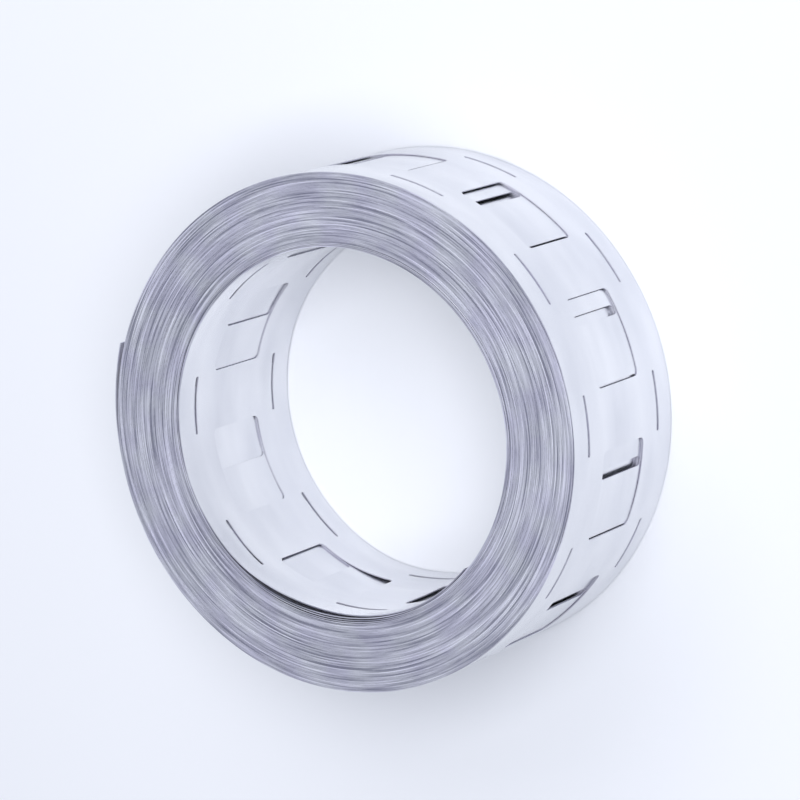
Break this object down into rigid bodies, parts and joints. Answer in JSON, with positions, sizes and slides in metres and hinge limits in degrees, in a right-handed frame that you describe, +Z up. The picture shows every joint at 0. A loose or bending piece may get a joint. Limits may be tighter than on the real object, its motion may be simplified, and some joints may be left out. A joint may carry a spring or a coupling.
{
  "type": "nickel strip",
  "caption": "Roll of thin nickel-plated strip with punched windows and weld slits, wound in a flat open coil, for joining rows of battery cells.",
  "frame": {"origin": "centre of the coil's bore, halfway across the strip's width", "axes": "+Z up along the bore, out of the coil's front end, with the coil lying on its back end; +X to the right and +Y to the top of the front end as the picture shows it"},
  "size_m": [0.0627, 0.0624, 0.0258],
  "materials": {
    "nickel_plate": "bright satin nickel plate on steel strip"
  },
  "bodies": {
    "root": {"nickel_strip_coil": "nickel_plate"}
  },
  "joints": []
}
